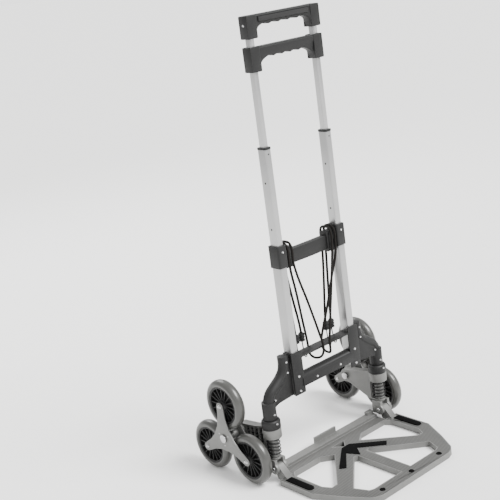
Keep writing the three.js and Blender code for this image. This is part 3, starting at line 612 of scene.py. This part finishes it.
# %% Handle screws and snap dots
handle_screws = [((s * 112.8, 0, 1077), (s, 0, 0), 3.0, 1.2, True) for s in (-1, 1)]
heads("handle_screws", "inner_stage", handle_screws)
DOT_RISE = 0.25
dots = [((s * 99, -13.4, 787), FRONT, 2.0, DOT_RISE, False) for s in (-1, 1)]
for s in (-1, 1):
    for z in (609, 720):
        dots += [((s * 108.4, 0, z), (s, 0, 0), 2.6, DOT_RISE, False)]
        dots += [((s * 89.6, 0, z), (-s, 0, 0), 2.6, DOT_RISE, False)]
heads("middle_stage_dots", "middle_stage", dots, "black_plastic")
print("snap dots:", len(dots))

# %% [markdown]
# Each wheel turns on a bolt through both plates of its cluster, with a socket head outside and a
# plain nut inside. Three small rivets sit round the hub of the outer plate.

# %% Wheel bolts
SPIDER_FACE, SPIDER_BACK, HUB_RIVET_R = 257.4, 215.6, 19
for side, s in SIDES.items():
    face_x = s * SPIDER_FACE
    rows = []
    hub = joint_place[f"{side}_cluster_spin"]
    for angle in (30, 150, 270):
        y = hub[1] / MM + HUB_RIVET_R * math.cos(math.radians(angle))
        z = hub[2] / MM + HUB_RIVET_R * math.sin(math.radians(angle))
        rows.append(((face_x, y, z), (s, 0, 0), 1.8, 0.8, False))
    for number in (1, 2, 3):
        c = joint_place[f"{side}_wheel_{number}_spin"]
        rows.append(((face_x, c[1] / MM, c[2] / MM), (s, 0, 0), 6.0, 3.2, True))
        rows.append(((s * SPIDER_BACK, c[1] / MM, c[2] / MM), (-s, 0, 0), 5.0, 2.2, False))
    heads(f"{side}_wheel_bolts", f"{side}_cluster", rows)
print("heads on each cluster:", len(rows))

# %% [markdown]
# Springs and cords are long round wires, so a curve with a bevel is the plain way to make them. Its
# knots have automatic handles, which join the points smoothly.

# %% Wire
def wire(name, points, radius, look, body, replaced):
    data = bpy.data.curves.new(name, "CURVE")
    data.dimensions = "3D"
    data.bevel_depth = radius
    data.bevel_resolution = 4
    data.resolution_u = 8
    data.use_fill_caps = True
    spline = data.splines.new("BEZIER")
    spline.bezier_points.add(len(points) - 1)
    for knot, point in zip(spline.bezier_points, points):
        knot.co = point
        knot.handle_left_type = knot.handle_right_type = "AUTO"
    data.materials.append(looks[look])
    piece = bpy.data.objects.new(name, data)
    bpy.context.collection.objects.link(piece)
    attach(piece, body)
    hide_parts(*replaced)


print("sides round a wire:", 4 * (4 + 1))

# %% [markdown]
# Each elastic cord is one length, hooked to the rail at both ends and laid twice over the crossbar.
# The points of its route are those of the frame, in millimetres, for the right-hand side.

# %% Route of the cords
CORD_ROUTE = [
    (62, 17, 326), (64, 17.5, 360), (70, 19, 430), (77, 21, 500), (79, 21.5, 530), (79, 22, 554),
    (79, 17, 565), (79, 4, 568), (79, -9, 565), (79, -14, 554), (79, -13.5, 530), (78, -13, 508),
    (62, -5, 443), (42, 7, 358), (28, 16, 305), (24, 18.5, 284), (23, 18.5, 266), (22, 9, 257),
    (20, -6, 256), (15, -17.5, 262), (12, -22, 274), (11.5, -22.8, 290), (18, -22, 320),
    (40, -18.5, 410), (62, -14, 495), (66, -13.5, 520), (67, -14, 554), (67, -9, 565),
    (67, 4, 568), (67, 17, 565), (67, 22, 554), (67, 21.5, 530), (65, 21, 500), (55, 19, 420),
    (45, 17.3, 350), (43, 17, 326),
]
cord_length = sum(math.dist(a, b) for a, b in zip(CORD_ROUTE, CORD_ROUTE[1:]))
print("length of one cord in mm:", round(cord_length))

# %% [markdown]
# A coil spring is a helix. Its radius and height are read from the box of the frame's own spring, so
# it keeps its place if the frame changes.

# %% Springs and cords
CORD_RADIUS = 3
COIL_TURNS, COIL_STEPS, COIL_WIRE = 5, 14, 1.5
for side, s in SIDES.items():
    low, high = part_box(f"{side}_strut_spring")
    axis_x = (low[0] + high[0]) / 2
    coil_r = (high[0] - low[0]) / 2 - COIL_WIRE * MM
    wire_r = COIL_WIRE * MM
    height = high[2] - low[2] - 2 * wire_r
    count = COIL_TURNS * COIL_STEPS
    coil_points = [(axis_x + s * coil_r * math.cos(2 * math.pi * i / COIL_STEPS),
                    coil_r * math.sin(2 * math.pi * i / COIL_STEPS),
                    low[2] + wire_r + height * i / count) for i in range(count + 1)]
    wire(f"{side}_coil", coil_points, wire_r, "dark_paint", "root", [f"{side}_strut_spring"])
    cord_points = [(s * x * MM, y * MM, z * MM) for x, y, z in CORD_ROUTE]
    wire(f"{side}_elastic_cord", cord_points, CORD_RADIUS * MM, "cord_braid", "root",
         [f"{side}_cord"])
print("points along a coil:", len(coil_points), "and along a cord:", len(cord_points))

# %% [markdown]
# Ribs, inserts and cuffs are all small blocks with broken edges. One helper makes such a block
# between two corners: a unit cube, scaled, moved and bevelled.

# %% One block
def add_box(mesh, low_corner, high_corner, width=0.4):
    made = bmesh.ops.create_cube(mesh, size=1)["verts"]
    size = [(b - a) * MM for a, b in zip(low_corner, high_corner)]
    middle = [(a + b) / 2 * MM for a, b in zip(low_corner, high_corner)]
    bmesh.ops.scale(mesh, vec=size, verts=made)
    bmesh.ops.translate(mesh, vec=middle, verts=made)
    edges = list({edge for vert in made for edge in vert.link_edges})
    bmesh.ops.bevel(mesh, geom=edges, offset=width * MM, segments=2, profile=0.5, affect="EDGES", material=-1)


print("a block's edges are broken by 0.4 mm unless it says otherwise")

# %% [markdown]
# Inside each spring stands a ribbed seat. It's turned, so its stepped profile is spun round the
# strut, and the normals are recalculated once the doubles at the seam are merged.

# %% Spring seats
SEAT_RIBS, RIB_PITCH = 9, 5.4
for side, s in SIDES.items():
    low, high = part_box(f"{side}_strut_spring")
    axis_x = (low[0] + high[0]) / 2
    seat = bmesh.new()
    profile = [(10.2, low[2] / MM)]
    for i in range(SEAT_RIBS):
        z = low[2] / MM + 1 + i * RIB_PITCH
        profile += [(12.4, z), (12.4, z + 3.4), (11.2, z + 4.0), (11.2, z + 5.0)]
    profile += [(10.2, high[2] / MM - 0.5)]
    profile = [(r, min(z, high[2] / MM - 0.5)) for r, z in profile]
    verts = [seat.verts.new((axis_x + r * MM, 0, z * MM)) for r, z in profile]
    edges = [seat.edges.new(pair) for pair in zip(verts, verts[1:] + verts[:1])]
    bmesh.ops.spin(seat, geom=verts + edges, cent=(axis_x, 0, 0), axis=(0, 0, 1), dvec=(0, 0, 0),
                   angle=2 * math.pi, steps=32, use_merge=True, use_duplicate=False)
    bmesh.ops.remove_doubles(seat, verts=seat.verts, dist=0.01 * MM)
    bmesh.ops.recalc_face_normals(seat, faces=seat.faces)
    add_piece(f"{side}_spring_seat", seat, "cast_silver", "root")
print("ribs on a spring seat:", SEAT_RIBS)

# %% [markdown]
# The hollow of each wheel bracket is filled with a black ribbed insert. It has four bays, each with
# an upright, a row of shelves and a back. Its black is what makes the casting look light.

# %% Bracket inserts
BAYS = [(36, 76, 122), (52, 84, 118), (67.5, 92, 117), (81, 98, 116)]
SHELF_PITCH, SHELF_THICK = 9, 1.4


def sided_box(mesh, s, near, far, y_span, z_span, width=0.4):
    x_low, x_high = sorted((s * near, s * far))
    add_box(mesh, (x_low, y_span[0], z_span[0]), (x_high, y_span[1], z_span[1]), width)


for side, s in SIDES.items():
    insert = bmesh.new()
    for y, z_low, z_high in BAYS:
        sided_box(insert, s, 183, 196, (y - 6, y - 5), (z_low, z_high))
        for z in range(int(z_low) + 4, int(z_high), SHELF_PITCH):
            sided_box(insert, s, 183, 195, (y - 6, y + 6), (z, z + SHELF_THICK))
        sided_box(insert, s, 182.1, 183.4, (y - 6.5, y + 6.5), (z_low, z_high))
    add_piece(f"{side}_bracket_insert", insert, "black_plastic", f"{side}_bracket")
print("bays in a bracket insert:", len(BAYS))

# %% [markdown]
# Black rubber pads keep the load from slipping: a strip near each side of the toe plate and a zigzag
# in the middle. Each is one flat outline pushed up a little and bevelled.

# %% Anti-slip pads
PATCH = [(14, -45), (80, -113), (66, -125), (12, -74), (-8, -104), (-24, -71), (-78, -123),
         (-91, -111), (-12, -45)]
STRIP = [(206, -44), (187, -44), (187, -120), (192, -126), (201, -126), (206, -119)]
PAD_BOTTOM, PAD_RISE = 14.4, 2.1


def anti_slip(name, outline, replaced):
    pad = bmesh.new()
    face = pad.faces.new([pad.verts.new((x * MM, y * MM, PAD_BOTTOM * MM)) for x, y in outline])
    lifted = bmesh.ops.extrude_face_region(pad, geom=[face])["geom"]
    raised = [item for item in lifted if isinstance(item, bmesh.types.BMVert)]
    bmesh.ops.translate(pad, vec=(0, 0, PAD_RISE * MM), verts=raised)
    bmesh.ops.recalc_face_normals(pad, faces=pad.faces)
    bevel_edges(pad, 0.3)
    add_piece(name, pad, "grip_rubber", "toe", [replaced])


anti_slip("zigzag_patch", PATCH, "grip_pad_middle")
for side, s in SIDES.items():
    anti_slip(f"{side}_anti_slip_strip", [(s * x, y) for x, y in STRIP], f"{side}_grip_strip")

print("corners of the zigzag and of a strip:", len(PATCH), len(STRIP))

# %% [markdown]
# The two grips end in proud sleeves that take the inner tubes. Three plates round each sleeve, at the
# front, the back and the outside, give it its thicker look.

# %% Handle sleeves
SLEEVES = {"inner_stage": (1047, 1098, "top_sleeves"), "release": (973.5, 1029.5, "release_sleeves")}
SLEEVE_IN, SLEEVE_OUT, CUFF_BEVEL = 84.5, 112.9, 2.2
for body, (z_low, z_high, name) in SLEEVES.items():
    cuffs = bmesh.new()
    for s in (-1, 1):
        z_span = (z_low, z_high)
        sided_box(cuffs, s, SLEEVE_IN, SLEEVE_OUT, (-14.6, -9.3), z_span, CUFF_BEVEL)
        sided_box(cuffs, s, SLEEVE_IN, SLEEVE_OUT, (9.3, 14.6), z_span, CUFF_BEVEL)
        sided_box(cuffs, s, 106.4, SLEEVE_OUT, (-14, 14), z_span, CUFF_BEVEL)
    add_piece(name, cuffs, "black_plastic", body)
print("height of a top sleeve in mm:", SLEEVES["inner_stage"][1] - SLEEVES["inner_stage"][0])

# %% [markdown]
# Each end of a cord goes into a knob with three rings, which is what a hand takes hold of.

# %% Cord knobs
KNOB_X, RING_Z, RING_R, RING_HIGH = (62, 43), (321.5, 314.5, 307), 8, 4.6
for side, s in SIDES.items():
    collar = bmesh.new()
    for x in KNOB_X:
        for z in RING_Z:
            made = bmesh.ops.create_cone(collar, cap_ends=True, segments=24, radius1=RING_R * MM,
                                         radius2=RING_R * MM, depth=RING_HIGH * MM)["verts"]
            bmesh.ops.translate(collar, vec=(s * x * MM, 17 * MM, z * MM), verts=made)
    bevel_edges(collar, 1.2)
    add_piece(f"{side}_knob_rings", collar, "black_plastic", "root")
print("rings on each side:", len(KNOB_X) * len(RING_Z))

# %% [markdown]
# Black plugs close the three holes along the toe plate's front edge. The head helper makes them too.

# %% Plate plugs
plugs = bmesh.new()
for x in (-103, 0, 103):
    head(plugs, (x, -260, 13.4), (0, 0, 1), 8.2, 2.2, True)
add_piece("plate_plugs", plugs, "grip_rubber", "toe")
print("plugs:", 3)
